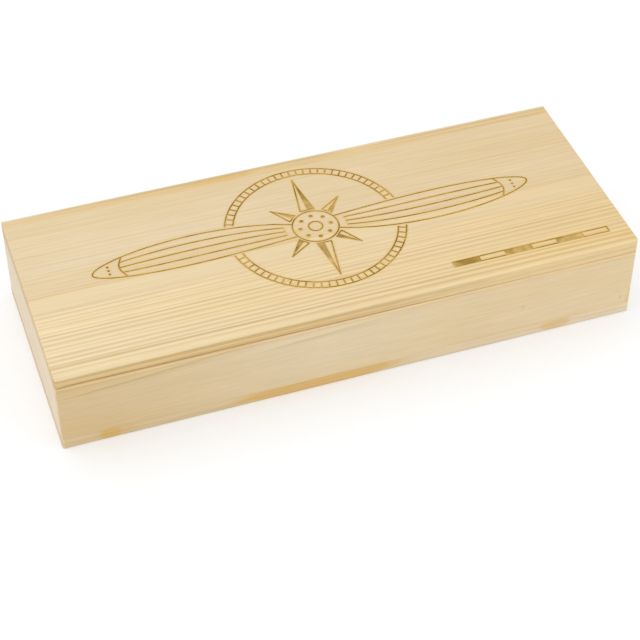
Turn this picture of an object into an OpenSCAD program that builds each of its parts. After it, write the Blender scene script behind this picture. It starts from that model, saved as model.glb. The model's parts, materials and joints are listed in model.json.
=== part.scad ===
// Pine box for a model kit: four mitred walls on a glued bottom panel, and a lift-off lid of two
// edge-glued boards with battens under it and a line drawing burnt into its top.
// X runs along the box, Y from front to back, Z up. The origin is the middle of the underside.

/* [Box] */
// Outside length, end to end
box_length = 215; // [200:1:320]
// Outside depth, front to back
box_depth = 85; // [80:1:140]
// Height of the four walls, from the bottom panel to the rim
wall_height = 24.5; // [16:0.5:60]
// Thickness of the four walls
wall_thickness = 7.5; // [5:0.5:12]
// Thickness of the bottom panel
bottom_thickness = 4.5; // [3:0.5:8]
// Radius sanded on the upright corners
corner_round = 1.2; // [0.6:0.1:2.4]
// Radius sanded on the rim
rim_round = 0.6; // [0.3:0.1:1.5]
// Radius sanded along the foot of the box
foot_round = 0.5; // [0.3:0.1:1.5]

/* [Lid] */
// Thickness of the two lid boards
lid_thickness = 5.6; // [4:0.1:9]
// Width of the front lid board, from the lid's front edge to the glue joint
front_board_width = 39.5; // [30:0.5:55]
// Gap between the rim and the lid that sits over it
seat_gap = 0.4; // [0.1:0.05:0.6]
// Radius sanded on the lid's upper front and back edges
lid_round = 1.4; // [0.6:0.1:2.4]
// Radius sanded on the upper edges of the lid's two ends
lid_end_round = 0.5; // [0.3:0.1:2.4]
// Radius sanded on the lid's lower edge
lid_arris = 0.7; // [0.3:0.1:1.2]
// Width of each batten under the lid
batten_width = 14; // [8:0.5:24]
// Height of each batten
batten_height = 6; // [4:0.5:10]
// Play between a batten and the walls that it drops between
batten_play = 0.8; // [0.4:0.1:2]
// Radius along the lower edges of a batten
batten_round = 1.5; // [0.5:0.1:3]

/* [Pins] */
// Diameter of the headless pins
pin_diameter = 0.8; // [0.6:0.1:1.4]
// How far a pin is set below the face that it was driven from
pin_set = 0.3; // [0.1:0.1:1]
// Distance from a corner pin to the front or back of the box
corner_pin_inset = 3; // [2:0.25:4]
// Distance from a corner pin to the wall's upper or lower edge
corner_pin_edge = 5; // [3:0.5:7]
// How far a corner pin runs into the long wall past the mitre
corner_pin_bite = 13; // [6:0.5:18]
// How far a bottom pin runs into the wall above the panel
bottom_pin_bite = 10; // [5:0.5:14]
// Bottom pins along each long wall
long_wall_pins = 4; // [2:1:7]
// Distance from the outermost bottom pins to the points of the corner pins
bottom_pin_gap = 6; // [3:0.5:20]
// How far a batten pin runs into the lid board
batten_pin_bite = 2.6; // [1.5:0.1:3.2]
// Pins in each batten
pins_per_batten = 4; // [2:2:6]

/* [Drawing on the lid] */
// Width of a burnt line
line_width = 0.5; // [0.3:0.05:0.8]
// Depth of a burnt line
line_depth = 0.3; // [0.15:0.05:0.6]
// Distance from the lid's middle to the middle of the drawing, towards the back
drawing_offset = 2.5; // [-3:0.5:4]
// Radius of the compass ring
ring_radius = 33; // [26:0.5:35]
// Width of the ring's graduated band
band_width = 3; // [2:0.25:5]
// Angle between two graduations of the band
graduation = 5; // [3:1:10]
// Gap between the band and the long star points
point_gap = 2.5; // [1:0.25:6]
// Length of a short star point against a long one
short_point = 0.68; // [0.5:0.02:0.85]
// Length of the propeller, tip to tip
propeller_length = 166; // [140:1:180]
// Radius of the propeller's hub plate
hub_radius = 8.5; // [7:0.25:10]
// Half the width of a blade where it leaves the hub
blade_root = 3.4; // [2.5:0.1:5]
// How far the leading edge swells beyond the root
lead_swell = 2.2; // [0:0.1:4]
// How far the trailing edge swells beyond the root
trail_swell = 6.2; // [3:0.1:7]
// Glue lines drawn along each blade
blade_lines = 3; // [1:1:5]
// Radius of a hub bolt
bolt_radius = 0.75; // [0.5:0.05:1]
// Number of hub bolts
hub_bolts = 8; // [4:1:10]
// Length of the scale bar
bar_length = 60; // [30:1:80]
// Height of the scale bar
bar_height = 2.6; // [1.8:0.1:5]
// Divisions of the scale bar
bar_parts = 6; // [2:1:10]
// Distance from the scale bar to the lid's front and right edges
bar_margin = 8; // [5:0.5:12]

/* [Hidden] */
$fn = 48;
pine = "#e8cd98";
pale_pine = "#ead8b4";
steel = "#9a9a98";
// How far a cutting shape reaches past the face that it cuts
over = 1;
half_length = box_length / 2;
half_depth = box_depth / 2;
rim_z = bottom_thickness + wall_height;
lid_z = rim_z + seat_gap;
lid_top = lid_z + lid_thickness;
joint_y = front_board_width - half_depth;
inner_length = box_length - 2 * wall_thickness;
inner_depth = box_depth - 2 * wall_thickness;
batten_length = inner_depth - 2 * batten_play;
batten_x = inner_length / 2 - batten_play - batten_width / 2;
batten_z = lid_z - batten_height;
pin_radius = pin_diameter / 2;
corner_pin_reach = corner_pin_inset + corner_pin_bite;

// Steps along a blade's edge, and the share of the blade where its metal tip begins
blade_steps = 18;
tip_start = 0.84;
// Exponent of the rounded tip, and of the shift of the trailing edge's belly towards the root
tip_power = 8;
belly_power = 0.8;
// The part of a half turn of sine that a blade's edge swells through
swell_turn = 160;
// How far the line that ends the metal tip bows outwards
tip_bow = 2;
rivet_radius = 0.45;
rivet_share = (1 + tip_start) / 2;
blade_reach = propeller_length / 2;
// The blades meet the hub plate's rim at this distance from its centre
blade_start = sqrt(pow(hub_radius, 2) - pow(blade_root, 2));
bolt_ring = hub_radius * 0.68;
bore_radius = hub_radius * 0.3;
// Clear space between the drawing's background and what lies in front of it
front_gap = 0.9;
star_start = hub_radius + front_gap;
long_point = ring_radius - band_width - point_gap;
star_half_angle = 24;
// Steps of the wedge that cuts a ring's line short
wedge_steps = 4;

// Outlines and blocks

module corner_waste(radius) {
    difference() {
        square(radius + over);
        circle(radius);
    }
}

module rounded_profile(width, height, top_round, bottom_round) {
    difference() {
        translate([-width / 2, 0]) square([width, height]);
        for (side = [0, 1]) mirror([side, 0]) {
            translate([width / 2 - top_round, height - top_round]) corner_waste(top_round);
            translate([width / 2 - bottom_round, bottom_round]) mirror([0, 1]) corner_waste(bottom_round);
        }
    }
}

// A block of the box's outline with its edges sanded round, standing on Z = 0
module sanded_block(height, top_round, end_round, bottom_round) {
    intersection() {
        translate([0, -half_depth]) linear_extrude(height)
            rounded_profile(box_length, box_depth, corner_round, corner_round);
        rotate([90, 0, 0]) linear_extrude(box_depth + 2 * over, center = true)
            rounded_profile(box_length, height, end_round, bottom_round);
        rotate([90, 0, 90]) linear_extrude(box_length + 2 * over, center = true)
            rounded_profile(box_depth, height, top_round, bottom_round);
    }
}

module lower_box() {
    sanded_block(rim_z, rim_round, rim_round, foot_round);
}

// A wall along the side that lies half_width from the middle, mitred at both ends
module mitred_wall(half_width, half_run) {
    intersection() {
        children();
        translate([0, 0, bottom_thickness]) linear_extrude(wall_height)
            polygon([
                [-half_run, -half_width], [half_run, -half_width],
                [half_run - wall_thickness, wall_thickness - half_width],
                [wall_thickness - half_run, wall_thickness - half_width]
            ]);
    }
}

module long_wall() {
    mitred_wall(half_depth, half_length) lower_box();
}

module end_wall() {
    rotate(-90) mitred_wall(half_length, half_depth) rotate(90) lower_box();
}

// Pins, and the same shapes carried out past the face as the holes that they fill

module corner_pin_cuts(from) {
    x = half_length - from;
    y = half_depth - corner_pin_inset;
    for (side = [-1, 1], face = [-1, 1], z = [corner_pin_edge, wall_height - corner_pin_edge])
        translate([side * x, face * y, bottom_thickness + z]) rotate([0, -side * 90, 0])
            cylinder(r = pin_radius, h = corner_pin_reach - from);
}

module bottom_pin_cuts(from) {
    run = box_length - 2 * (corner_pin_reach + bottom_pin_gap);
    wall_middle = wall_thickness / 2;
    height = bottom_thickness + bottom_pin_bite - from;
    for (face = [-1, 1], i = [0 : long_wall_pins - 1])
        translate([i * run / (long_wall_pins - 1) - run / 2, face * (half_depth - wall_middle), from])
            cylinder(r = pin_radius, h = height);
    for (side = [-1, 1])
        translate([side * (half_length - wall_middle), 0, from]) cylinder(r = pin_radius, h = height);
}

module batten_pin_cuts(from) {
    pitch = batten_length / pins_per_batten;
    for (side = [-1, 1], i = [0 : pins_per_batten - 1])
        translate([side * batten_x, (i + 0.5) * pitch - batten_length / 2, batten_z + from])
            cylinder(r = pin_radius, h = batten_height + batten_pin_bite - from);
}

// The drawing: a propeller in front of a compass rose, and a plain scale bar

function unit(v) = v / norm(v);
function turned(v) = [-v.y, v.x];
function polar(radius, angle) = radius * [cos(angle), sin(angle)];

// The outline of a line of the drawing's width along a list of points
function line_outline(points) =
    let (
        last = len(points) - 1,
        sides = [
            for (i = [0 : last])
                line_width / 2 * turned(unit(points[min(i + 1, last)] - points[max(i - 1, 0)]))
        ]
    )
    concat(
        [for (i = [0 : last]) points[i] + sides[i]],
        [for (i = [last : -1 : 0]) points[i] - sides[i]]
    );

module drawn_line(points) {
    polygon(line_outline(points));
}

module drawn_ring(radius) {
    difference() {
        circle(radius + line_width / 2);
        circle(radius - line_width / 2);
    }
}

// A blade lies along +X. Share 0 is at the hub plate's rim and share 1 at the tip.
function blade_x(share) = blade_start + share * (blade_reach - blade_start);
function blade_share(x) = (x - blade_start) / (blade_reach - blade_start);
function tip_narrowing(share) = sqrt(1 - pow(share, tip_power));
function lead_y(share) = (blade_root + lead_swell * sin(swell_turn * share)) * tip_narrowing(share);
function trail_y(share) =
    -(blade_root + trail_swell * sin(swell_turn * pow(share, belly_power))) * tip_narrowing(share);
// A point across the blade, from the leading edge at 0 to the trailing edge at 1
function blade_point(share, across) =
    [blade_x(share), lead_y(share) + across * (trail_y(share) - lead_y(share))];
// The line that ends the metal tip bows outwards, and the glue lines run up to it
function tip_shift(across) = [tip_bow * sin(180 * across), 0];

module blade() {
    // The steps crowd together towards the round tip
    shares = [for (i = [0 : blade_steps]) sin(90 * i / blade_steps)];
    drawn_line(concat(
        [for (i = [0 : blade_steps]) blade_point(shares[i], 0)],
        [for (i = [blade_steps - 1 : -1 : 0]) blade_point(shares[i], 1)]
    ));
    drawn_line([
        for (i = [0 : blade_steps / 2])
            let (across = 2 * i / blade_steps)
            blade_point(tip_start, across) + tip_shift(across)
    ]);
    for (i = [1 : blade_lines]) {
        across = i / (blade_lines + 1);
        drawn_line([
            for (k = [1 : blade_steps])
                let (along = k / blade_steps)
                blade_point(tip_start * along, across) + along * tip_shift(across)
        ]);
        translate(blade_point(rivet_share, across)) circle(rivet_radius);
    }
}

module hub_plate() {
    drawn_ring(hub_radius);
    drawn_ring(bore_radius);
    for (i = [0 : hub_bolts - 1]) translate(polar(bolt_ring, 360 * i / hub_bolts)) circle(bolt_radius);
}

// The angle that a blade's edge takes up on a circle, with the clear space beside it
function edge_angle(radius, edge_y) = asin((abs(edge_y) + front_gap) / radius);
function lead_angle(radius) = edge_angle(radius, lead_y(blade_share(radius)));
function trail_angle(radius) = edge_angle(radius, trail_y(blade_share(radius)));

// Half a circle's line, cut short where the two blades pass in front of it
module half_ring(radius) {
    first = lead_angle(radius);
    last = 180 - trail_angle(radius);
    reach = 2 * radius;
    turn = (last - first) / wedge_steps;
    intersection() {
        drawn_ring(radius);
        polygon(concat([[0, 0]], [for (i = [0 : wedge_steps]) polar(reach, first + turn * i)]));
    }
}

// One star point: an outlined half and a filled half
module star_point(length, angle) {
    side = star_start * tan(star_half_angle) * (length - star_start) / length;
    rotate(angle) {
        polygon([[star_start, 0], [length, 0], [star_start, -side]]);
        drawn_line([[star_start, -side], [star_start, side]]);
        drawn_line([[star_start, side], [length, 0]]);
    }
}

module half_rose() {
    inner_radius = ring_radius - band_width;
    half_ring(ring_radius);
    half_ring(inner_radius);
    first = lead_angle(inner_radius);
    last = 180 - trail_angle(inner_radius);
    for (angle = [0 : graduation : 180])
        if (angle > first && angle < last)
            drawn_line([polar(inner_radius, angle), polar(ring_radius, angle)]);
    star_point(long_point, 90);
    for (angle = [45, 135]) star_point(short_point * long_point, angle);
}

module scale_bar() {
    part = bar_length / bar_parts;
    for (y = [0, bar_height]) drawn_line([[-line_width / 2, y], [bar_length + line_width / 2, y]]);
    for (i = [0 : bar_parts]) drawn_line([[i * part, 0], [i * part, bar_height]]);
    for (i = [0 : 2 : bar_parts - 1]) translate([i * part, 0]) square([part, bar_height]);
}

module drawing() {
    translate([0, drawing_offset]) {
        hub_plate();
        for (half = [0, 180]) rotate(half) {
            blade();
            half_rose();
        }
    }
    translate([half_length - bar_margin - bar_length, bar_margin - half_depth]) scale_bar();
}

module burnt_lines() {
    translate([0, 0, lid_top - line_depth]) linear_extrude(line_depth + over) drawing();
}

// The pieces

module front_wall() {
    color(pine) difference() {
        long_wall();
        corner_pin_cuts(-over);
        bottom_pin_cuts(-over);
    }
}

module back_wall() {
    color(pine) difference() {
        mirror([0, 1]) long_wall();
        corner_pin_cuts(-over);
        bottom_pin_cuts(-over);
    }
}

module left_end_wall() {
    color(pale_pine) difference() {
        end_wall();
        corner_pin_cuts(-over);
        bottom_pin_cuts(-over);
    }
}

module right_end_wall() {
    color(pale_pine) difference() {
        mirror([1, 0]) end_wall();
        corner_pin_cuts(-over);
        bottom_pin_cuts(-over);
    }
}

module bottom_panel() {
    color(pine) difference() {
        intersection() {
            lower_box();
            translate([-half_length, -half_depth]) cube([box_length, box_depth, bottom_thickness]);
        }
        bottom_pin_cuts(-over);
    }
}

module corner_pins() {
    color(steel) corner_pin_cuts(pin_set);
}

module bottom_pins() {
    color(steel) bottom_pin_cuts(pin_set);
}

module lid_board(front_y, width) {
    difference() {
        intersection() {
            translate([0, 0, lid_z]) sanded_block(lid_thickness, lid_round, lid_end_round, lid_arris);
            translate([-half_length, front_y, lid_z]) cube([box_length, width, lid_thickness]);
        }
        batten_pin_cuts(-over);
        burnt_lines();
    }
}

module lid_front_board() {
    color(pine) lid_board(-half_depth, front_board_width);
}

module lid_back_board() {
    color(pale_pine) lid_board(joint_y, box_depth - front_board_width);
}

module lid_batten(side) {
    difference() {
        translate([side * batten_x, 0, lid_z]) rotate([-90, 0, 0])
            linear_extrude(batten_length, center = true)
                rounded_profile(batten_width, batten_height, batten_round, 0);
        batten_pin_cuts(-over);
    }
}

module left_lid_batten() {
    color(pale_pine) lid_batten(-1);
}

module right_lid_batten() {
    color(pale_pine) lid_batten(1);
}

module batten_pins() {
    color(steel) batten_pin_cuts(pin_set);
}

front_wall();
back_wall();
left_end_wall();
right_end_wall();
bottom_panel();
corner_pins();
bottom_pins();
lid_front_board();
lid_back_board();
left_lid_batten();
right_lid_batten();
batten_pins();
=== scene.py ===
"""Looks of the pine kit box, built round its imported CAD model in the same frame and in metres."""

import json
import math
from typing import NamedTuple

import bmesh
import bpy
from bpy.props import FloatProperty, FloatVectorProperty, PointerProperty
from bpy.types import NodeSocket, Operator, Panel, PropertyGroup
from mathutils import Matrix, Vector, geometry, kdtree, noise
from mathutils.bvhtree import BVHTree

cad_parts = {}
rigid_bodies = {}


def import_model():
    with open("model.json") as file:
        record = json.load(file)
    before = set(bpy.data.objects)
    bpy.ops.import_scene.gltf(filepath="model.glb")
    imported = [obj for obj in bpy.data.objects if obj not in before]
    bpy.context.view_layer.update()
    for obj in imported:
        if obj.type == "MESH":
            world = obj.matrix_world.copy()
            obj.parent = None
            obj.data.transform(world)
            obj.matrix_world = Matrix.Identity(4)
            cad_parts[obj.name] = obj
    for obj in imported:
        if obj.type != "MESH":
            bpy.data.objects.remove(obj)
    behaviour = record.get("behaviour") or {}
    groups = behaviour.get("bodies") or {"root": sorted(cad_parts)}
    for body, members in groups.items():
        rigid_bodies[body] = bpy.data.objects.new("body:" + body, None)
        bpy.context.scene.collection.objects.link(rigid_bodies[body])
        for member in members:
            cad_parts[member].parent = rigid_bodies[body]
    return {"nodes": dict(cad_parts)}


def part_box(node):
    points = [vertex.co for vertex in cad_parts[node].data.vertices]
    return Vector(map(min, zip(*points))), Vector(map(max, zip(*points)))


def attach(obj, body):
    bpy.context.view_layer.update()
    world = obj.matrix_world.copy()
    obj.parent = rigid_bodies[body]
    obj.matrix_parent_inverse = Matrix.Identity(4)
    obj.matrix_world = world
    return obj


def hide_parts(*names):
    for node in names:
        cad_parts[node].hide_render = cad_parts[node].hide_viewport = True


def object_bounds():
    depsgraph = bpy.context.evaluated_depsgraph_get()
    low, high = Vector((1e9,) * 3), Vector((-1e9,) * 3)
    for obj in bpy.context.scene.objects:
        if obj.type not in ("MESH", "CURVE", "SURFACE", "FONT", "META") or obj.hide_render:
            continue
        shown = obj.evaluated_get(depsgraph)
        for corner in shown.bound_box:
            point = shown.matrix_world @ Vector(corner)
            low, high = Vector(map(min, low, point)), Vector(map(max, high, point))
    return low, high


# The start-up file's own objects go before the frame comes in
bpy.data.batch_remove(bpy.data.objects)
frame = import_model()
cad_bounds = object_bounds()

bl_info = {
    "name": "Pine kit box",
    "version": (1, 0, 0),
    "blender": (4, 5, 0),
    "location": "3D View > Sidebar > Kit box",
    "description": "Builds the boards, the burnt lid and the stage of a pine kit box",
    "category": "Object",
}

MM = 0.001
# Points of the CAD mesh closer than this are the same point
WELD = 0.001 * MM
BOX_NODES = ("front_wall", "back_wall", "left_end_wall", "right_end_wall", "bottom_panel")
LID_NODES = ("lid_front_board", "lid_back_board")
# Faces that meet at less than this angle are one flat face
FLAT_ANGLE = math.radians(0.3)
# Edges sharper than this stay edges in the shading
SHARP_ANGLE = math.radians(40)
# Edges sharper than this were left square by the saw
SQUARE_ANGLE = math.radians(60)
# Shorter edges aren't eased
LONG_EDGE = 2.0 * MM
# Points this many radii in from the block still belong to its rounded edge
ROUND_REACH = 1.02
# How often an edge's radius wanders up and down in a metre
WANDERS = 22.0
# Next to a corner an edge's radius comes to its own over this many corner radii
CORNER_CALM = 3.0
# How far in from the front a warped rim is raised, less than the wall is thick
WARP_REACH = 6.0 * MM
# How much of a face's normal points up: at least this on a level face, at most the next on a wall
LEVEL = 0.999
UPRIGHT = 0.1
# Burnt lines are shallower than this
SHALLOW = 1.0 * MM
# Distance between points along the rim of a burnt line
RIM_STEP = 0.9 * MM
# Rows of points beside a rim, in shares of the scorch's reach
SCORCH_ROWS = (0.3, 0.7, 1.2)
# Share of a row's distance that its points keep from every other rim
KEEP_AWAY = 0.8
# Points of the lid's top closer than this are the same point
SAME_PLACE = 1e-8
# How fast the scorch dies away from a rim
SCORCH_FALL = 1.5
# Sizes of the wood's patterns along the grain and twice across it, in millimetres
TRUNK_BEND = (110.0, 33.0, 33.0)
COLOUR_DRIFT = (83.0, 14.0, 14.0)
# Real fibres are 0.03 mm wide. The widest of these are far coarser, or they wouldn't show
FIBRE = (18.0, 0.83, 0.83)
# Depth of wood that grows in a spell of good or poor years, in millimetres
GROWTH_SPELL = 6.25
# Width of the patches that a beam burns more or less deeply, in millimetres
BEAM_PATCH = 6.25
# Width of the specks of dirt on a pin, in millimetres
PIN_DIRT = 0.65
# Width of the bumps in the paper on the floor
PAPER_TOOTH = 1.1 * MM
# Scorch on the floor of a burnt line, where its rim has 1 and clean wood has 0
FLOOR_SCORCH = 2.0
# Glow that lifts the floor to white where the camera sees it
FLOOR_LIFT = 0.28
# Places and widths of the lamps
KEY_PLACE = Vector((-0.7, 0.5, 1.8))
KEY_SIZE = 1.6
LEFT_FILL_PLACE = Vector((-0.55, -0.2, 0.2))
RIGHT_FILL_PLACE = Vector((0.42, -0.42, 0.14))
FILL_SIZE = 0.3
# In millimetres, as Blender takes it
SENSOR_WIDTH = 36.0
# Where the camera looks, to the right of the box's middle and below it in the picture
AIM_RIGHT = 0.76 * MM
AIM_DOWN = 19.8 * MM


class Rounds(NamedTuple):
    """Radii of the sanded edges, as the CAD model has them."""

    # Along the top of the front and back
    top: float
    # Along the top of the two ends
    end: float
    # All round the bottom
    bottom: float
    # Up the corners
    corner: float


BOX_ROUNDS = Rounds(top=0.6 * MM, end=0.6 * MM, bottom=0.5 * MM, corner=1.2 * MM)
LID_ROUNDS = Rounds(top=1.4 * MM, end=0.5 * MM, bottom=0.7 * MM, corner=1.2 * MM)


def linear(code):
    """Turn an sRGB hex colour into linear red, green and blue."""
    parts = [int(code[i : i + 2], 16) / 255 for i in (1, 3, 5)]
    return tuple(p / 12.92 if p <= 0.04045 else ((p + 0.055) / 1.055) ** 2.4 for p in parts)


def rgba(colour):
    """Make a colour opaque."""
    return (*colour, 1.0)


class PineLook(PropertyGroup):
    """Colours of the wood and of the marks burnt into it."""

    early: FloatVectorProperty(
        name="Early wood",
        description="Pale wood between two growth lines",
        subtype="COLOR",
        default=linear("#EBD4A9"),
    )
    golden: FloatVectorProperty(
        name="Golden wood",
        description="Pale wood between two growth lines of a yellower board",
        subtype="COLOR",
        default=linear("#F9E1B2"),
    )
    late: FloatVectorProperty(
        name="Late wood",
        description="Darker wood of a growth line",
        subtype="COLOR",
        default=linear("#CDAF75"),
    )
    rosy: FloatVectorProperty(
        name="Rosy wood",
        description="Paler, pinkish wood that comes and goes along a board",
        subtype="COLOR",
        default=linear("#F4E3CA"),
    )
    # Paler sanded wood, also used for painted highlights on the lid's arrises and the wall's rim
    fresh_and_highlight: FloatVectorProperty(
        name="Fresh edge",
        description="Paler wood where an edge was sanded round last",
        subtype="COLOR",
        default=linear("#FCE5B6"),
    )
    # Darker cast towards one end of a board: partly aged wood, partly painted shade, as on the left of the
    # front wall
    mellow_and_shade: FloatVectorProperty(
        name="Mellowing",
        description="Cast of the end of a board that has darkened with age",
        subtype="COLOR",
        default=linear("#F2E5C8"),
    )
    resin: FloatVectorProperty(
        name="Resin",
        description="Streaks where the wood is soaked with resin",
        subtype="COLOR",
        default=linear("#E4B864"),
    )
    end_grain: FloatVectorProperty(
        name="End grain",
        description="Cast of a face cut across the fibres",
        subtype="COLOR",
        default=linear("#EEE4D2"),
    )
    scorched: FloatVectorProperty(
        name="Scorched",
        description="Toasted wood beside a burnt line",
        subtype="COLOR",
        default=linear("#E3BF6C"),
    )
    burnt: FloatVectorProperty(
        name="Burnt",
        description="Floor of a burnt line",
        subtype="COLOR",
        default=linear("#A27D26"),
    )
    scorch_reach: FloatProperty(
        name="Scorch reach",
        description="How far the toasting spreads from a burnt line",
        unit="LENGTH",
        default=0.9 * MM,
        min=0.1 * MM,
        max=3.0 * MM,
    )


class SandingLook(PropertyGroup):
    """How the edges were sanded by hand."""

    station: FloatProperty(
        name="Station",
        description="Distance between the places where an edge's radius may change",
        unit="LENGTH",
        default=5.0 * MM,
        min=1.0 * MM,
        max=20.0 * MM,
    )
    unevenness: FloatProperty(
        name="Unevenness",
        description="Share by which an edge's radius wanders",
        subtype="FACTOR",
        default=0.16,
        min=0.0,
        max=0.4,
    )
    trend: FloatProperty(
        name="Trend",
        description="Share by which the seam under the lid is rounder at the left and sharper at the right",
        subtype="FACTOR",
        default=0.8,
        min=0.0,
        max=0.8,
    )
    lift: FloatProperty(
        name="Rim lift",
        description="How far the front wall's rim stands up at the right, where the seam closes",
        unit="LENGTH",
        default=0.33 * MM,
        min=0.0,
        max=0.35 * MM,
    )
    eased: FloatProperty(
        name="Eased edge",
        description="Width taken off the edges that were left square",
        unit="LENGTH",
        default=0.1 * MM,
        min=0.05 * MM,
        max=0.5 * MM,
    )


class StageLook(PropertyGroup):
    """Floor, light and camera."""

    floor_radius: FloatProperty(
        name="Floor radius",
        description="Radius of the pale floor",
        unit="LENGTH",
        default=4.0,
        min=0.5,
    )
    sky: FloatProperty(
        name="Tent light",
        description="Strength of the even light from all round",
        default=0.84,
        min=0.0,
    )
    key: FloatProperty(
        name="Key light",
        description="Power of the wide soft lamp above the left back",
        default=5.0,
        min=0.0,
    )
    left_fill: FloatProperty(
        name="Left fill light",
        description="Power of the soft lamp at the left",
        default=0.13,
        min=0.0,
    )
    right_fill: FloatProperty(
        name="Right fill light",
        description="Power of the soft lamp at the right front",
        default=0.36,
        min=0.0,
    )
    lens: FloatProperty(
        name="Lens",
        description="Focal length on a 36 mm wide sensor, in millimetres",
        default=102.5,
        min=20.0,
    )
    distance: FloatProperty(
        name="Distance",
        description="From the camera to the point that it looks at",
        unit="LENGTH",
        default=0.6709,
        min=0.2,
    )
    azimuth: FloatProperty(
        name="Azimuth",
        description="Turn of the camera about the vertical, 0 straight in front",
        subtype="ANGLE",
        default=math.radians(-18.94),
    )
    elevation: FloatProperty(
        name="Elevation",
        description="Height of the camera above the horizon",
        subtype="ANGLE",
        default=math.radians(43.68),
    )


class Streak(NamedTuple):
    """A streak of another colour: an egg-shaped space, in millimetres of the frame."""

    colour: str
    middle: tuple
    half_size: tuple
    strength: float


class Cut(NamedTuple):
    """How a board lay in its log. Lengths are in millimetres of the frame."""

    # Axis that the fibres follow
    grain: str
    # Where the pith passes: sideways (Y, or -X where the grain follows Y) and Z
    pith: tuple
    # Slope of the pith against the board, sideways and upwards
    lean: tuple
    # Mean width of a growth ring
    ring: float
    # How far the rings bow along the board
    bow: float
    # Share of late wood that a growth line shows
    contrast: float
    # Share of a ring over which it darkens, and how late in that share the darkening comes
    rise: float
    late: float
    # Share of the paler, pinkish wood
    rosy: float
    # Colour of the early wood
    early: str = "early"
    # Share of the cast that the board's ends take on, where its fibres are cut across
    end_cast: float = 0.9
    # Axis, the places where the growth lines are strongest and have faded, and the share left of them
    fades: tuple = ()
    # The places along X between which the wood mellows from not at all to fully, by default past the box. The
    # mellowing is partly age and partly painted shade
    mellow_and_shade: tuple = (500.0, 600.0)
    streaks: tuple = ()


# The lid's glue line, seen on both its boards
GLUE_LINE = Streak("resin", (0.0, -3.0, 33.0), (2000.0, 0.8, 40.0), 0.35)

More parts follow.
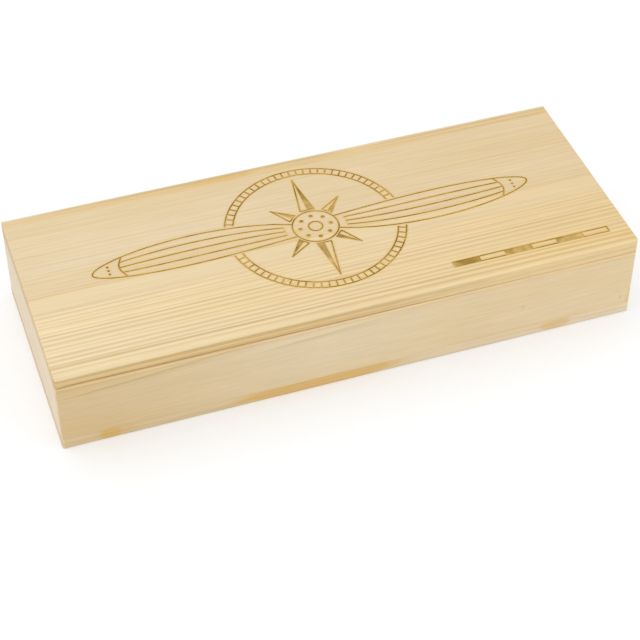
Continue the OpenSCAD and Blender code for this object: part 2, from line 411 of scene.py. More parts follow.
CUTS = {
    # Flat-sawn: the rings lie almost along the face, so only a few growth lines wander across it
    "front_wall": Cut(
        grain="X",
        pith=(59.29, 4.0),
        lean=(0.017, 0.0),
        ring=1.6,
        bow=0.7,
        contrast=1.5,
        rise=0.93,
        late=4.0,
        rosy=0.08,
        fades=(("Z", 24.7, 23.5, 0.1), ("X", -72.0, 15.0, 0.1)),
        # Painted shade, with some age, darkens the left of the front wall
        mellow_and_shade=(-15.0, -140.0),
        streaks=(
            Streak("resin", (107.5, -42.5, 7.5), (2.4, 3.0, 6.0), 0.4),
            # Painted shade on the rim under the lid's seam, in resin's colour, and a painted highlight along
            # the rim's rounded edge
            Streak("resin", (0.0, -42.5, 29.2), (2000.0, 8.0, 2.2), 0.3),
            Streak("fresh_and_highlight", (0.0, -42.5, 29.0), (2000.0, 3.0, 0.9), 0.4),
            Streak("resin", (80.0, -42.5, 4.6), (75.0, 6.0, 1.0), 0.2),
            Streak("resin", (107.5, -42.5, 15.0), (100.0, 10.0, 60.0), 0.13),
            Streak("late", (63.9, -42.5, 15.0), (0.9, 3.0, 1.1), 0.3),
            Streak("late", (103.3, -42.5, 8.3), (0.8, 3.0, 1.4), 0.35),
        ),
    ),
    "back_wall": Cut(
        grain="X",
        pith=(-25.0, 6.0),
        lean=(-0.02, 0.0),
        ring=2.6,
        bow=1.6,
        contrast=0.45,
        rise=0.9,
        late=4.0,
        rosy=0.25,
    ),
    "left_end_wall": Cut(
        grain="Y",
        pith=(165.0, 2.0),
        lean=(0.02, 0.0),
        ring=2.2,
        bow=1.4,
        contrast=0.2,
        rise=0.85,
        late=3.0,
        rosy=0.9,
        streaks=(Streak("resin", (-107.5, -42.5, 16.0), (4.0, 3.5, 60.0), 0.16),),
    ),
    "right_end_wall": Cut(
        grain="Y",
        pith=(-40.0, 8.0),
        lean=(0.02, 0.0),
        ring=2.2,
        bow=1.4,
        contrast=0.3,
        rise=0.85,
        late=3.0,
        rosy=0.6,
    ),
    "bottom_panel": Cut(
        grain="X",
        pith=(-12.0, -38.0),
        lean=(0.01, 0.02),
        ring=2.3,
        bow=1.8,
        contrast=0.35,
        rise=0.85,
        late=3.0,
        rosy=0.35,
        end_cast=0.7,
        mellow_and_shade=(-15.0, -150.0),
        streaks=(
            Streak("rosy", (-107.5, 0.0, 2.0), (0.8, 2000.0, 40.0), 0.5),
            Streak("resin", (-90.3, -42.5, 2.5), (4.2, 3.0, 3.4), 0.7),
            Streak("resin", (-87.5, -42.5, 3.2), (7.0, 3.0, 2.6), 0.4),
            Streak("resin", (-14.0, -42.5, 2.8), (37.0, 6.0, 4.2), 0.8),
            Streak("resin", (77.5, -42.5, 2.8), (7.0, 3.0, 3.4), 0.5),
        ),
    ),
    # Rift-sawn: the rings stand steeply, so straight growth lines run side by side along the board
    "lid_front_board": Cut(
        grain="X",
        pith=(-82.0, 8.0),
        lean=(-0.007, 0.0),
        ring=1.8,
        bow=0.5,
        contrast=0.62,
        rise=0.6,
        late=1.5,
        rosy=0.0,
        early="golden",
        fades=(("Y", -14.0, -8.0, 0.4),),
        mellow_and_shade=(-105.0, 190.0),
        streaks=(
            GLUE_LINE,
            Streak("early", (0.0, -7.0, 33.0), (2000.0, 7.0, 40.0), 0.6),
            # Painted highlight along the lid's front arris at the left
            Streak("fresh_and_highlight", (-107.5, -41.2, 35.0), (110.0, 2.2, 5.0), 0.4),
            Streak("late", (-40.0, -38.2, 33.0), (900.0, 0.65, 40.0), 0.55),
            Streak("late", (-40.0, -40.4, 35.0), (900.0, 0.65, 2.0), 0.35),
            # Bands down the lid's front face: a dark line under the arris, then painted shade, in resin's and
            # late wood's colours, deepening towards the seam below the lid
            Streak("late", (-40.0, -42.5, 32.6), (130.0, 6.0, 1.0), 0.7),
            Streak("resin", (-60.0, -42.5, 31.0), (120.0, 6.0, 2.4), 0.45),
            Streak("late", (-70.0, -42.5, 30.2), (160.0, 6.0, 1.1), 0.36),
            Streak("fresh_and_highlight", (100.0, -37.4, 35.0), (75.0, 5.0, 40.0), 0.15),
            Streak("resin", (100.0, -40.3, 34.0), (75.0, 0.65, 40.0), 0.4),
            Streak("resin", (100.0, -38.1, 33.0), (75.0, 0.75, 40.0), 0.6),
            Streak("resin", (100.0, -36.0, 33.0), (75.0, 0.75, 40.0), 0.6),
        ),
    ),
    "lid_back_board": Cut(
        grain="X",
        pith=(112.0, 5.0),
        lean=(0.004, 0.0),
        ring=1.6,
        bow=0.9,
        contrast=0.27,
        rise=0.75,
        late=2.0,
        rosy=0.08,
        mellow_and_shade=(-105.0, 400.0),
        streaks=(
            GLUE_LINE,
            Streak("resin", (0.0, 39.2, 33.0), (2000.0, 2.2, 9.0), 0.25),
            Streak("resin", (-33.0, 39.4, 33.0), (75.0, 2.2, 9.0), 0.15),
            Streak("resin", (-25.0, 39.4, 33.0), (17.0, 2.2, 9.0), 0.5),
            Streak("resin", (62.0, 37.4, 33.0), (90.0, 1.7, 9.0), 0.14),
            Streak("resin", (-107.5, 1.0, 33.0), (160.0, 9.0, 40.0), 0.1),
            Streak("late", (-30.0, 40.7, 33.0), (75.0, 0.9, 9.0), 0.55),
            Streak("late", (75.0, 40.2, 33.0), (55.0, 0.7, 9.0), 0.55),
            Streak("late", (78.0, 38.1, 33.0), (45.0, 0.7, 9.0), 0.4),
        ),
    ),
    "left_lid_batten": Cut(
        grain="Y",
        pith=(60.0, -20.0),
        lean=(0.01, 0.0),
        ring=1.9,
        bow=1.0,
        contrast=0.35,
        rise=0.85,
        late=3.0,
        rosy=0.4,
    ),
    "right_lid_batten": Cut(
        grain="Y",
        pith=(-128.0, -8.0),
        lean=(0.01, 0.0),
        ring=2.1,
        bow=1.0,
        contrast=0.35,
        rise=0.85,
        late=3.0,
        rosy=0.4,
    ),
}


def add(tree, kind, sockets=None, **settings):
    """Add a node and return its first output. A socket takes a value or the output that feeds it."""
    node = tree.nodes.new("ShaderNode" + kind)
    for name, value in settings.items():
        setattr(node, name, value)
    usable = [socket for socket in node.inputs if socket.enabled]
    for key, value in (sockets or {}).items():
        target = usable[key] if isinstance(key, int) else node.inputs[key]
        if isinstance(value, NodeSocket):
            tree.links.new(value, target)
        else:
            target.default_value = value
    return next((socket for socket in node.outputs if socket.enabled), None)


def new_material(name):
    """Make an empty material and return it with its node tree."""
    material = bpy.data.materials.new(name)
    material.use_nodes = True
    material.node_tree.nodes.clear()
    return material, material.node_tree


def pine(name, cut, look, burnt=False):
    """Bare planed and sanded pine: dull, pale yellow, striped where the saw crossed its growth rings."""
    material, tree = new_material(name)
    coords = add(tree, "TexCoord").node.outputs
    turn = 0.0 if cut.grain == "X" else -math.pi / 2
    log = add(
        tree,
        "Mapping",
        {
            "Vector": coords["Object"],
            "Location": (0.0, -cut.pith[0], -cut.pith[1]),
            "Rotation": (0.0, -cut.lean[1], turn + cut.lean[0]),
            "Scale": (1 / MM,) * 3,
        },
    )

    # Growth rings: cylinders about the pith that bow slowly along the trunk and waver from ring to ring
    spread = add(tree, "VectorMath", {0: log, 1: (0.0, 1.0, 1.0)}, operation="MULTIPLY")
    radius = add(tree, "VectorMath", {0: spread}, operation="LENGTH")
    slow = add(tree, "VectorMath", {0: log, 1: TRUNK_BEND}, operation="DIVIDE")
    bow = add(tree, "TexNoise", {"Vector": slow, "Scale": 1.0, "Detail": 2.0})
    bowed = add(tree, "Math", {0: bow, 1: cut.bow, 2: radius}, operation="MULTIPLY_ADD")
    # Good and poor years make the rings wider and narrower
    pace = add(
        tree,
        "TexNoise",
        {"W": bowed, "Scale": 1 / GROWTH_SPELL, "Detail": 1.0},
        noise_dimensions="1D",
    )
    paced = add(tree, "Math", {0: pace, 1: 2.0 * cut.ring, 2: bowed}, operation="MULTIPLY_ADD")
    turns = add(tree, "Math", {0: paced, 1: cut.ring}, operation="DIVIDE")
    ring = add(tree, "Math", {0: turns}, operation="FLOOR")
    within = add(tree, "Math", {0: turns}, operation="FRACT")
    # Each ring darkens slowly to its late wood and turns pale again over a shorter way
    darkening = add(tree, "Math", {0: within, 1: cut.rise}, operation="DIVIDE")
    to_go = add(tree, "Math", {0: 1.0, 1: within}, operation="SUBTRACT")
    paling = add(tree, "Math", {0: to_go, 1: 1.0 - cut.rise}, operation="DIVIDE")
    peak = add(tree, "Math", {0: darkening, 1: paling}, operation="MINIMUM")
    line = add(tree, "Math", {0: peak, 1: cut.late}, operation="POWER")
    # No two growth lines are equally dark
    whim = add(tree, "TexWhiteNoise", {"W": ring}, noise_dimensions="1D")
    strength = add(tree, "MapRange", {"Value": whim, "To Min": 0.5, "To Max": 1.3})
    sides = add(tree, "SeparateXYZ", {"Vector": coords["Object"]}).node.outputs
    lined = add(tree, "Math", {0: line, 1: strength}, operation="MULTIPLY")
    late = add(tree, "Math", {0: lined, 1: cut.contrast}, operation="MULTIPLY", use_clamp=True)
    for axis, strong, weak, kept in cut.fades:
        share = add(
            tree,
            "MapRange",
            {
                "Value": sides[axis],
                "From Min": strong * MM,
                "From Max": weak * MM,
                "To Min": 1.0,
                "To Max": kept,
            },
        )
        late = add(tree, "Math", {0: late, 1: share}, operation="MULTIPLY")

    # A rosy cast in broad drifts, so that no two hand-widths of a board have quite the same colour
    broad = add(tree, "VectorMath", {0: log, 1: COLOUR_DRIFT}, operation="DIVIDE")
    drift = add(tree, "TexNoise", {"Vector": broad, "Scale": 1.0, "Detail": 2.0})
    cast = add(
        tree,
        "MapRange",
        {
            "Value": drift,
            "From Min": 0.3,
            "From Max": 0.7,
            "To Min": max(0.0, cut.rosy - 0.3),
            "To Max": min(1.0, cut.rosy + 0.3),
        },
    )
    base = add(
        tree, "Mix", {0: cast, 1: rgba(getattr(look, cut.early)), 2: rgba(look.rosy)}, data_type="RGBA"
    )
    # Age and painted shade both darken the board towards one end
    aged_and_shaded = add(
        tree,
        "MapRange",
        {"Value": sides["X"], "From Min": cut.mellow_and_shade[0] * MM, "From Max": cut.mellow_and_shade[1] * MM},
    )
    base = add(
        tree, "Mix", {0: aged_and_shaded, 1: base, 2: rgba(look.mellow_and_shade)}, data_type="RGBA", blend_type="MULTIPLY"
    )
    wood = add(tree, "Mix", {0: late, 1: base, 2: rgba(look.late)}, data_type="RGBA")

    # Fibres: streaks far longer than wide, which also fray the edges of other colours
    fine = add(tree, "VectorMath", {0: log, 1: FIBRE}, operation="DIVIDE")
    fibre = add(tree, "TexNoise", {"Vector": fine, "Scale": 1.0, "Detail": 4.0, "Roughness": 0.65})

    # Edges that were sanded last are paler, as newly sanded wood is, and the same paling is a painted
    # highlight on the lid's long top arrises
    sanded = add(tree, "Attribute", attribute_name="sanded").node.outputs["Fac"]
    pale_and_highlight = add(tree, "MapRange", {"Value": sanded, "From Max": 0.6, "To Max": 0.35})
    wood = add(tree, "Mix", {0: pale_and_highlight, 1: wood, 2: rgba(look.fresh_and_highlight)}, data_type="RGBA")

    # Resin soaks along the fibres, so a streak has a ragged edge
    for streak in cut.streaks:
        offset = add(
            tree,
            "VectorMath",
            {0: coords["Object"], 1: tuple(m * MM for m in streak.middle)},
            operation="SUBTRACT",
        )
        scaled = add(
            tree,
            "VectorMath",
            {0: offset, 1: tuple(s * MM for s in streak.half_size)},
            operation="DIVIDE",
        )
        depth = add(tree, "VectorMath", {0: scaled}, operation="LENGTH")
        ragged = add(tree, "Math", {0: fibre, 1: 0.5, 2: depth}, operation="MULTIPLY_ADD")
        wavy = add(tree, "Math", {0: bow, 1: 0.6, 2: ragged}, operation="MULTIPLY_ADD")
        soaked = add(
            tree,
            "MapRange",
            {"Value": wavy, "From Min": 1.1, "From Max": 1.6, "To Min": streak.strength, "To Max": 0.0},
            interpolation_type="SMOOTHSTEP",
        )
        colour = rgba(getattr(look, streak.colour))
        wood = add(tree, "Mix", {0: soaked, 1: wood, 2: colour}, data_type="RGBA")

    # One fibre throws back a little more light than the next, in clear wood and in a streak alike
    shade = add(
        tree,
        "MapRange",
        {"Value": fibre, "From Min": 0.25, "From Max": 0.75, "To Min": 0.93, "To Max": 1.07},
    )
    wood = add(tree, "HueSaturation", {"Value": shade, "Color": wood})

    # Open fibre ends hold shadow, so a face across the grain is a little darker
    along = (1.0, 0.0, 0.0) if cut.grain == "X" else (0.0, 1.0, 0.0)
    facing = add(tree, "VectorMath", {0: coords["Normal"], 1: along}, operation="DOT_PRODUCT")
    across = add(tree, "Math", {0: facing}, operation="ABSOLUTE")
    ends = add(tree, "MapRange", {"Value": across, "From Min": 0.6, "From Max": 0.95, "To Max": cut.end_cast})
    wood = add(
        tree, "Mix", {0: ends, 1: wood, 2: rgba(look.end_grain)}, data_type="RGBA", blend_type="MULTIPLY"
    )

    if burnt:
        # A beam scorched the lines: golden at the rim, brown and uneven on the floor
        scorch = add(tree, "Attribute", attribute_name="scorch").node.outputs["Fac"]
        toasted = add(tree, "MapRange", {"Value": scorch, "To Max": 0.85}, interpolation_type="SMOOTHSTEP")
        wood = add(tree, "Mix", {0: toasted, 1: wood, 2: rgba(look.scorched)}, data_type="RGBA")
        spots = add(tree, "VectorMath", {0: coords["Object"], "Scale": 1 / MM}, operation="SCALE")
        patchy = add(tree, "TexNoise", {"Vector": spots, "Scale": 1 / BEAM_PATCH, "Detail": 2.0})
        heat = add(tree, "MapRange", {"Value": patchy, "From Min": 0.38, "From Max": 0.66, "To Min": 0.15})
        floor = add(tree, "MapRange", {"Value": scorch, "From Min": 1.0, "From Max": FLOOR_SCORCH})
        char = add(tree, "Math", {0: floor, 1: heat}, operation="MULTIPLY")
        wood = add(tree, "Mix", {0: char, 1: wood, 2: rgba(look.burnt)}, data_type="RGBA")

    # Late wood is denser: it sands smoother and stands a hair proud of the early wood
    polish = add(tree, "Math", {0: fibre, 1: 0.12, 2: 0.56}, operation="MULTIPLY_ADD")
    relief = add(tree, "Math", {0: late, 1: 0.6, 2: fibre}, operation="MULTIPLY_ADD")
    bump = add(tree, "Bump", {"Height": relief, "Strength": 0.3, "Distance": 0.04 * MM})
    surface = add(
        tree,
        "BsdfPrincipled",
        {"Base Color": wood, "Roughness": polish, "IOR": 1.5, "Normal": bump},
    )
    add(tree, "OutputMaterial", {"Surface": surface})
    return material


def pin_steel():
    """Drawn steel wire, cut off and punched in: grey, half dull and specked with dirt."""
    material, tree = new_material("drawn_steel_punched")
    coords = add(tree, "TexCoord").node.outputs
    scaled = add(tree, "VectorMath", {0: coords["Object"], "Scale": 1 / MM}, operation="SCALE")
    dirt = add(tree, "TexNoise", {"Vector": scaled, "Scale": 1 / PIN_DIRT, "Detail": 3.0})
    colour = add(
        tree, "Mix", {0: dirt, 1: rgba(linear("#8B8781")), 2: rgba(linear("#B9B6B0"))}, data_type="RGBA"
    )
    rough = add(tree, "MapRange", {"Value": dirt, "To Min": 0.3, "To Max": 0.55})
    surface = add(tree, "BsdfPrincipled", {"Base Color": colour, "Metallic": 1.0, "Roughness": rough})
    add(tree, "OutputMaterial", {"Surface": surface})
    return material


def block_of(nodes):
    """Lowest and highest corner of the block that some CAD nodes make up."""
    boxes = [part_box(node) for node in nodes]
    low = Vector([min(box[0][i] for box in boxes) for i in range(3)])
    high = Vector([max(box[1][i] for box in boxes) for i in range(3)])
    return low, high


def welded_copy(node):
    """A CAD node's mesh as one closed skin with its flat faces whole."""
    bm = bmesh.new()
    bm.from_mesh(frame["nodes"][node].data)
    bmesh.ops.remove_doubles(bm, verts=bm.verts, dist=WELD)
    bmesh.ops.dissolve_limit(bm, angle_limit=FLAT_ANGLE, verts=bm.verts, edges=bm.edges)
    return bm


def settled(bm):
    """Rebuild a mesh with its points and faces in the order of their places."""
    # Bevelling leaves them in another order in each run, and the same box should give the same file
    ordered = sorted(bm.verts, key=lambda v: v.co[:])
    number = {vert: i for i, vert in enumerate(ordered)}
    rings = []
    for face in bm.faces:
        ring = [number[vert] for vert in face.verts]
        first = ring.index(min(ring))
        rings.append(ring[first:] + ring[:first])
    new = bmesh.new()
    verts = [new.verts.new(vert.co) for vert in ordered]
    for ring in sorted(rings):
        new.faces.new([verts[i] for i in ring])
    new.normal_update()
    bm.free()
    return new


def with_eased_edges(bm, width, mitred):
    """Take the sharpness off the long square edges, which also marks the glue lines. Mitres stay closed."""
    square = []
    for edge in bm.edges:
        start, end = (vert.co for vert in edge.verts)
        closed = mitred and abs(end.z - start.z) > LONG_EDGE
        if edge.is_manifold and edge.calc_length() > LONG_EDGE and not closed:
            if edge.calc_face_angle_signed() > SQUARE_ANGLE:
                square.append(edge)
    bmesh.ops.bevel(bm, geom=square, offset=width, segments=2, profile=0.5, affect="EDGES")
    return settled(bm)


def slice_along(bm, axis, step):
    """Cut the mesh across its length into stations."""
    places = [vert.co[axis] for vert in bm.verts]
    normal = Vector([1.0 if i == axis else 0.0 for i in range(3)])
    count = int((max(places) - min(places)) / step)
    for i in range(1, count):
        point = normal * (min(places) + (max(places) - min(places)) * i / count)
        geom = bm.verts[:] + bm.edges[:] + bm.faces[:]
        bmesh.ops.bisect_plane(bm, geom=geom, dist=WELD, plane_co=point, plane_no=normal)


def sand_edges(bm, block, rounds, look, seam_top):
    """Let the radius of the block's rounded edges wander along their length, as under a hand sander."""
    low, high = block
    sanded = bm.verts.layers.float.new("sanded")
    for vert in bm.verts:
        for along, first, second in ((0, 1, 2), (1, 0, 2), (2, 0, 1)):
            insets = {}
            for axis in (first, second):
                from_low, from_high = vert.co[axis] - low[axis], high[axis] - vert.co[axis]
                insets[axis] = (from_low < from_high, min(from_low, from_high))
            at_top = not insets[second][0]
            upper = rounds.end if along == 1 else rounds.top
            radius = rounds.corner if along == 2 else upper if at_top else rounds.bottom
            if max(insets[first][1], insets[second][1]) > ROUND_REACH * radius:
                continue
            at_seam = along != 2 and at_top == seam_top
            # The mark gives the lid's long top arrises a paler colour: part sanded wood, part painted
            # highlight
            if along == 0 and at_top and not at_seam:
                vert[sanded] = 1.0 - abs(insets[first][1] - insets[second][1]) / radius
            whole = vert.co.copy()
            whole[first] = whole[second] = 0.0
            # Each edge wanders in its own way
            apart = Vector((3.0 * insets[first][0], 7.0 * at_top, along))
            wander = noise.noise(whole * WANDERS + apart)
            change = look.unevenness * wander
            if along == 0 and at_seam:
                change -= look.trend * vert.co.x / high.x
            if along != 2:
                # Next to a corner an edge keeps its radius, so that the two roundings run into each other
                inset = min(vert.co[along] - low[along], high[along] - vert.co[along])
                change *= min(1.0, max(0.0, inset / rounds.corner - 1.0) / CORNER_CALM)
            factor = 1.0 + change
            for axis in (first, second):
                near_low, inset = insets[axis]
                vert.co[axis] = low[axis] + inset * factor if near_low else high[axis] - inset * factor


def lift_front_rim(bm, block, look):
    """Bend the rim's front edge up towards the right, as a wall does that has warped a little."""
    low, high = block
    arris = ROUND_REACH * BOX_ROUNDS.top
    for vert in bm.verts:
        if high.z - vert.co.z < arris:
            share = max(0.0, vert.co.x / high.x)
            hold = max(0.0, 1.0 - (vert.co.y - low.y) / WARP_REACH)
            vert.co.z += look.lift * share * (2.0 - share) * hold


def crowd_top(bm, top, reach):
    """Cut the lid's flat top anew with points crowded round the burnt lines, and mark their scorch."""
    scorch = bm.verts.layers.float.new("scorch")
    flat = [f for f in bm.faces if f.normal.z > LEVEL and abs(f.calc_center_median().z - top) < WELD]
    flat = bmesh.ops.triangulate(bm, faces=flat)["faces"]
    bm.verts.index_update()
    top_tree = BVHTree.FromPolygons([v.co for v in bm.verts], [[v.index for v in f.verts] for f in flat])
    flat_set = set(flat)

    def on_top(x, y):
        hit = top_tree.ray_cast(Vector((x, y, top + SHALLOW)), Vector((0, 0, -1)), 2 * SHALLOW)
        return hit[0] is not None

    # The rim is every edge where the flat top stops; the burnt lines' rims lead down to a shallow wall
    rim = [e for f in flat for e in f.edges if sum(g in flat_set for g in e.link_faces) == 1]
    burnt = []
    for edge in rim:
        wall = next(f for f in edge.link_faces if f not in flat_set)
        if min(v.co.z for v in wall.verts) > top - SHALLOW and abs(wall.normal.z) < UPRIGHT:
            burnt.append(edge)
    burnt_verts = {v for e in burnt for v in e.verts}

    def sunk(vert):
        return top - SHALLOW < vert.co.z < top - WELD

    for vert in bm.verts:
        floors = (f for f in vert.link_faces if f.normal.z > LEVEL)
        on_floor = sunk(vert) and any(all(sunk(v) for v in f.verts) for f in floors)
        vert[scorch] = FLOOR_SCORCH if on_floor else 1.0 if vert in burnt_verts else 0.0

    samples = []
    for edge in burnt:
        start, end = (v.co for v in edge.verts)
        face = next(f for f in edge.link_faces if f in flat_set)
        outward = (end - start).cross(Vector((0, 0, 1))).normalized()
        if outward.dot(face.calc_center_median() - start) < 0:
            outward.negate()
        count = max(1, round(edge.calc_length() / RIM_STEP))
        samples += [(start.lerp(end, (i + 0.5) / count), outward) for i in range(count)]
    rims = kdtree.KDTree(len(samples))
    for i, (point, _) in enumerate(samples):
        rims.insert(point, i)
    rims.balance()

    extra = {}
    for share in SCORCH_ROWS:
        gap = share * reach
        # Only one point to a cell, and wider cells further out
        width = 0.5 * gap + 0.2 * MM
        for point, outward in samples:
            place = point + outward * gap
            cell = (round(place.x / width), round(place.y / width), share)
            if cell not in extra and rims.find(place)[2] > KEEP_AWAY * gap and on_top(place.x, place.y):
                extra[cell] = place

    border = list({v: None for e in rim for v in e.verts})
    number = {v: i for i, v in enumerate(border)}
    points = [Vector((v.co.x, v.co.y)) for v in border] + [Vector((p.x, p.y)) for p in extra.values()]
    rim_pairs = list({tuple(sorted(number[v] for v in e.verts)) for e in rim})
    places, _, triangles, origins, _, _ = geometry.delaunay_2d_cdt(points, rim_pairs, [], 0, SAME_PLACE)
    bmesh.ops.delete(bm, geom=flat, context="FACES")
    verts = []
    for place, origin in zip(places, origins):
        old = next((i for i in origin if i < len(border)), None)
        if old is None:
            vert = bm.verts.new((place.x, place.y, top))
            vert[scorch] = max(0.0, 1.0 - rims.find(vert.co)[2] / reach) ** SCORCH_FALL
        else:
            vert = border[old]
        verts.append(vert)
    for triangle in triangles:
        middle = sum((places[i] for i in triangle), Vector((0, 0))) / 3
        if on_top(middle.x, middle.y):
            bm.faces.new([verts[i] for i in triangle])
    bmesh.ops.delete(bm, geom=[v for v in bm.verts if not v.link_faces], context="VERTS")


def finished_board(context, bm, node, body, material):
    """Make the piece that stands for a CAD node out of a finished mesh."""
    # Faces without area go, and long flat faces become even triangles
    bmesh.ops.dissolve_degenerate(bm, dist=WELD, edges=bm.edges)
    bmesh.ops.triangulate(bm, faces=bm.faces, quad_method="BEAUTY", ngon_method="BEAUTY")
    for face in bm.faces:
        face.smooth = True
    for edge in bm.edges:
        edge.smooth = edge.is_manifold and edge.calc_face_angle() < SHARP_ANGLE
    mesh = bpy.data.meshes.new(node + "_sanded")
    bm.to_mesh(mesh)
    bm.free()
    piece = bpy.data.objects.new(node + "_sanded", mesh)
    context.scene.collection.objects.link(piece)
    mesh.materials.append(material)
    shading = piece.modifiers.new("flat faces stay flat", "WEIGHTED_NORMAL")
    shading.keep_sharp = True
    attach(piece, body)
    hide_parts(node)


def build_boards(context, nodes, block, rounds, body, way, seam_top):
    """Sanded boards for CAD nodes whose outer edges lie on one block."""
    scene = context.scene
    for node in nodes:
        bm = with_eased_edges(welded_copy(node), scene.kit_box_sanding.eased, mitred=True)
        slice_along(bm, 0 if CUTS[node].grain == "X" else 1, scene.kit_box_sanding.station)
        sand_edges(bm, block, rounds, scene.kit_box_sanding, seam_top)
        lift_front_rim(bm, block, scene.kit_box_sanding)
        finished_board(context, bm, node, body, pine(way + "_" + node, CUTS[node], scene.kit_box_pine))


class KITBOX_OT_long_walls(Operator):
    """Build the front and back walls"""

    bl_idname = "kit_box.long_walls"
    bl_label = "Long walls"

    def execute(self, context):
        nodes = ("front_wall", "back_wall")
        build_boards(context, nodes, block_of(BOX_NODES), BOX_ROUNDS, "box", "pine_flat_sawn_sanded", True)
        return {"FINISHED"}


class KITBOX_OT_end_walls(Operator):
    """Build the two end walls"""

    bl_idname = "kit_box.end_walls"
    bl_label = "End walls"

    def execute(self, context):
        nodes = ("left_end_wall", "right_end_wall")
        build_boards(context, nodes, block_of(BOX_NODES), BOX_ROUNDS, "box", "pine_flat_sawn_sanded", True)
        return {"FINISHED"}


class KITBOX_OT_bottom_panel(Operator):
    """Build the panel glued under the walls"""

    bl_idname = "kit_box.bottom_panel"
    bl_label = "Bottom panel"

    def execute(self, context):
        nodes = ("bottom_panel",)
        build_boards(context, nodes, block_of(BOX_NODES), BOX_ROUNDS, "box", "pine_resinous_sanded", True)
        return {"FINISHED"}


class KITBOX_OT_lid_boards(Operator):
    """Build the lid's two boards with the drawing burnt into them"""

    bl_idname = "kit_box.lid_boards"
    bl_label = "Lid boards"

    def execute(self, context):
        scene = context.scene
        block = block_of(LID_NODES)
        for node in LID_NODES:
            bm = welded_copy(node)
            slice_along(bm, 0, scene.kit_box_sanding.station)
            sand_edges(bm, block, LID_ROUNDS, scene.kit_box_sanding, False)
            crowd_top(bm, block[1].z, scene.kit_box_pine.scorch_reach)
            material = pine("pine_rift_sawn_burnt_" + node, CUTS[node], scene.kit_box_pine, burnt=True)
            finished_board(context, bm, node, "lid", material)
        return {"FINISHED"}


class KITBOX_OT_lid_battens(Operator):
    """Build the two battens under the lid"""

    bl_idname = "kit_box.lid_battens"
    bl_label = "Lid battens"

    def execute(self, context):
        scene = context.scene
        for node in ("left_lid_batten", "right_lid_batten"):
            bm = with_eased_edges(welded_copy(node), scene.kit_box_sanding.eased, mitred=False)
            material = pine("pine_planed_" + node, CUTS[node], scene.kit_box_pine)
            finished_board(context, bm, node, "lid", material)
        return {"FINISHED"}


class KITBOX_OT_pins(Operator):
    """Give the pins of the CAD model their steel"""

    bl_idname = "kit_box.pins"
    bl_label = "Pins"

    def execute(self, context):
        steel = pin_steel()
        for node in ("corner_pins", "bottom_pins", "batten_pins"):
            mesh = frame["nodes"][node].data
            mesh.materials.clear()
            mesh.materials.append(steel)
        return {"FINISHED"}


def seen_directly(tree):
    """1 for what the camera sees, also in metal or through glass, and 0 for light on its way to the box."""
    rays = add(tree, "LightPath").node.outputs
    mirrored = add(tree, "Math", {0: rays["Is Camera Ray"], 1: rays["Is Glossy Ray"]}, operation="MAXIMUM")
    return add(tree, "Math", {0: mirrored, 1: rays["Is Transmission Ray"]}, operation="MAXIMUM")


def white_floor():
    """Matt white paper: takes a soft shadow, and is lifted to white where the camera sees it unshaded."""
    material, tree = new_material("matt_white_paper")
    coords = add(tree, "TexCoord").node.outputs
    tooth = add(tree, "TexNoise", {"Vector": coords["Object"], "Scale": 1 / PAPER_TOOTH, "Detail": 2.0})
    grey = add(
        tree, "Mix", {0: tooth, 1: rgba(linear("#E1E3E6")), 2: rgba(linear("#E6E8EB"))}, data_type="RGBA"
    )
    paper = add(tree, "BsdfDiffuse", {"Color": grey})
    lift = add(tree, "Math", {0: seen_directly(tree), 1: FLOOR_LIFT}, operation="MULTIPLY")
    glow = add(tree, "Emission", {"Color": (1.0, 1.0, 1.0, 1.0), "Strength": lift})
    both = add(tree, "AddShader", {0: paper, 1: glow})
    add(tree, "OutputMaterial", {"Surface": both})
    return material


def add_lamp(context, name, place, aim, size, power):
    """Hang a round soft lamp that faces a point."""
    lamp = bpy.data.lights.new(name, "AREA")
    lamp.shape = "DISK"
    lamp.size = size
    lamp.energy = power
    holder = bpy.data.objects.new(name, lamp)
    holder.location = place
    holder.rotation_mode = "QUATERNION"
    holder.rotation_quaternion = (aim - place).to_track_quat("-Z", "Y")
    context.scene.collection.objects.link(holder)


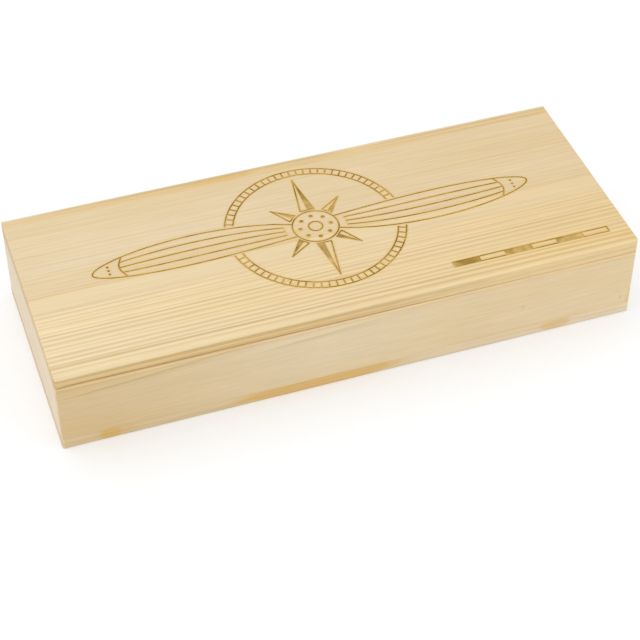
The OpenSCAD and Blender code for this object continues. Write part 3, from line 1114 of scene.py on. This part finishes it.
class KITBOX_OT_stage(Operator):
    """Lay the floor, set the light and place the camera"""

    bl_idname = "kit_box.stage"
    bl_label = "Stage"

    def execute(self, context):
        scene = context.scene
        look = scene.kit_box_stage
        low, high = cad_bounds
        middle = (low + high) / 2

        bm = bmesh.new()
        bmesh.ops.create_circle(bm, cap_ends=True, segments=64, radius=look.floor_radius)
        mesh = bpy.data.meshes.new("floor")
        bm.to_mesh(mesh)
        bm.free()
        mesh.materials.append(white_floor())
        floor = bpy.data.objects.new("floor", mesh)
        scene.collection.objects.link(floor)

        world = bpy.data.worlds.new("light tent")
        scene.world = world
        world.use_nodes = True
        tree = world.node_tree
        tree.nodes.clear()
        strength = add(tree, "MapRange", {"Value": seen_directly(tree), "To Min": look.sky, "To Max": 1.0})
        light = add(tree, "Background", {"Color": (1.0, 1.0, 1.0, 1.0), "Strength": strength})
        add(tree, "OutputWorld", {"Surface": light})

        add_lamp(context, "key", KEY_PLACE, middle, KEY_SIZE, look.key)
        add_lamp(context, "left fill", LEFT_FILL_PLACE, middle, FILL_SIZE, look.left_fill)
        add_lamp(context, "right fill", RIGHT_FILL_PLACE, middle, FILL_SIZE, look.right_fill)

        turn, rise = look.azimuth, look.elevation
        back = Vector((math.sin(turn) * math.cos(rise), -math.cos(turn) * math.cos(rise), math.sin(rise)))
        right = (-back).cross(Vector((0, 0, 1))).normalized()
        upward = right.cross(-back)
        aim = middle + right * AIM_RIGHT - upward * AIM_DOWN
        camera = bpy.data.cameras.new("camera")
        camera.lens = look.lens
        camera.sensor_width = SENSOR_WIDTH
        viewer = bpy.data.objects.new("camera", camera)
        viewer.location = aim + back * look.distance
        viewer.rotation_mode = "QUATERNION"
        viewer.rotation_quaternion = (-back).to_track_quat("-Z", "Y")
        scene.collection.objects.link(viewer)
        scene.camera = viewer
        scene.view_settings.view_transform = "Standard"
        return {"FINISHED"}


OPERATORS = (
    KITBOX_OT_long_walls,
    KITBOX_OT_end_walls,
    KITBOX_OT_bottom_panel,
    KITBOX_OT_lid_boards,
    KITBOX_OT_lid_battens,
    KITBOX_OT_pins,
    KITBOX_OT_stage,
)
LOOKS = {"kit_box_pine": PineLook, "kit_box_sanding": SandingLook, "kit_box_stage": StageLook}


class KITBOX_PT_panel(Panel):
    bl_idname = "KITBOX_PT_panel"
    bl_label = "Kit box"
    bl_space_type = "VIEW_3D"
    bl_region_type = "UI"
    bl_category = "Kit box"

    def draw(self, context):
        for name, kind in LOOKS.items():
            column = self.layout.box().column()
            for setting in kind.__annotations__:
                column.prop(getattr(context.scene, name), setting)
        for operator in OPERATORS:
            self.layout.operator(operator.bl_idname)


CLASSES = (*LOOKS.values(), *OPERATORS, KITBOX_PT_panel)


def register():
    for kind in CLASSES:
        bpy.utils.register_class(kind)
    for name, kind in LOOKS.items():
        setattr(bpy.types.Scene, name, PointerProperty(type=kind))


def unregister():
    for name in LOOKS:
        delattr(bpy.types.Scene, name)
    for kind in reversed(CLASSES):
        bpy.utils.unregister_class(kind)


def main():
    """Build everything in order."""
    register()
    bpy.ops.kit_box.long_walls()
    bpy.ops.kit_box.end_walls()
    bpy.ops.kit_box.bottom_panel()
    bpy.ops.kit_box.lid_boards()
    bpy.ops.kit_box.lid_battens()
    bpy.ops.kit_box.pins()
    bpy.ops.kit_box.stage()


if __name__ == "__main__":
    main()
